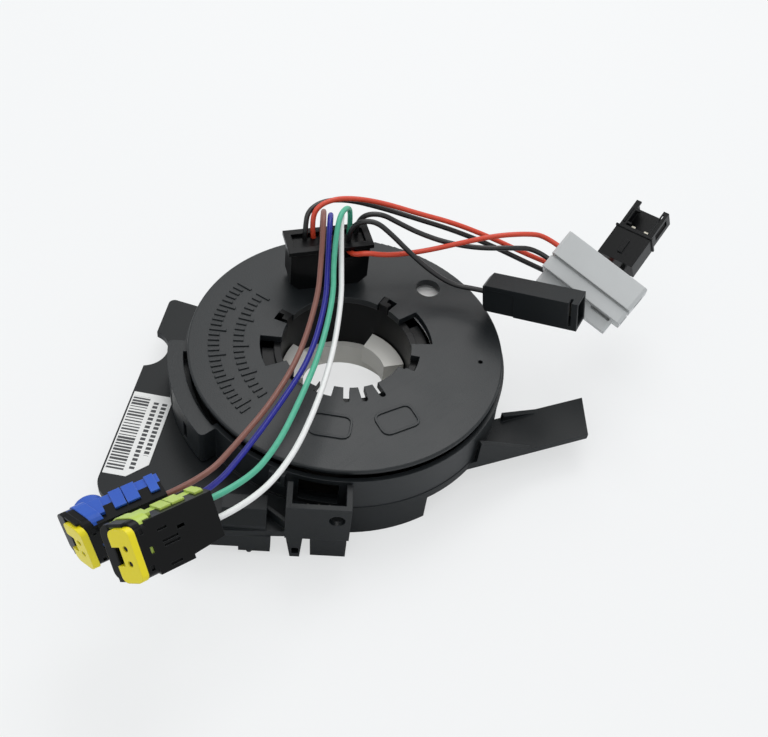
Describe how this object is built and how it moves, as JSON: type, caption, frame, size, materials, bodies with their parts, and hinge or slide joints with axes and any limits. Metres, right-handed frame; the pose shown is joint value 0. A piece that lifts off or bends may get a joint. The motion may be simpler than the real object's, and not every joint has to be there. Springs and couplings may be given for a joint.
{
  "type": "steering column clock spring",
  "caption": "Clock spring for a steering column: a spinning disc in a fixed round casing, with a mounting bracket and wired plugs that ride on the disc.",
  "frame": {"origin": "on the rotor's axis, in the plane of the feet", "axes": "+Z along the rotor's axis to the steering wheel, +Y from the axis to the block that the leads leave, +X to the arm's side"},
  "size_m": [0.2108, 0.1343, 0.0629],
  "materials": {
    "black_moulding": "matte, finely textured",
    "deep_black_moulding": "satin",
    "white_moulding": "satin",
    "paper_label": "matte paper",
    "contact_metal": "bright",
    "film_cable": "satin",
    "white_film": "satin",
    "lime_moulding": "satin",
    "yellow_moulding": "satin",
    "blue_moulding": "satin",
    "grey_moulding": "satin",
    "brown_sleeve": "satin",
    "blue_sleeve": "satin",
    "green_sleeve": "satin",
    "white_sleeve": "satin",
    "red_sleeve": "satin",
    "black_sleeve": "satin"
  },
  "bodies": {
    "stator": {"mounting_base": "black_moulding", "outer_casing": "black_moulding", "label": "paper_label", "harness_pins": "contact_metal", "ribbon_cable": "film_cable", "slip_sheet": "white_film"},
    "rotor": {"rotor_disc": "black_moulding", "rotor_hub": "deep_black_moulding", "cancel_cam": "white_moulding", "lead_tower": "deep_black_moulding", "tower_cap": "deep_black_moulding", "rotor_contacts": "contact_metal", "green_plug_base": "lime_moulding", "green_plug_cover": "deep_black_moulding", "blue_plug_base": "blue_moulding", "blue_plug_cover": "deep_black_moulding", "grey_plug": "grey_moulding", "horn_plug": "deep_black_moulding", "horn_terminal": "contact_metal", "remote_plug": "deep_black_moulding", "remote_contacts": "contact_metal", "lead_brown": "brown_sleeve", "lead_blue": "blue_sleeve", "lead_green": "green_sleeve", "lead_white": "white_sleeve", "lead_red_long": "red_sleeve", "lead_black_long": "black_sleeve", "lead_red_short": "red_sleeve", "lead_black_short": "black_sleeve", "lead_black_single": "black_sleeve"},
    "green_lock": {"green_plug_lock": "yellow_moulding"},
    "blue_lock": {"blue_plug_lock": "yellow_moulding"}
  },
  "joints": [
    {"name": "rotor_spin", "type": "hinge", "parent": "stator", "child": "rotor", "pos_m": [0, 0, 0], "axis": [0, 0, 1], "range_deg": [-900, 900]},
    {"name": "green_lock_slide", "type": "slide", "parent": "rotor", "child": "green_lock", "axis": [-0.9248, -0.3709, 0.085], "range_m": [0, 0.0025]},
    {"name": "blue_lock_slide", "type": "slide", "parent": "rotor", "child": "blue_lock", "axis": [-0.9628, -0.251, -0.1], "range_m": [0, 0.0025]}
  ]
}
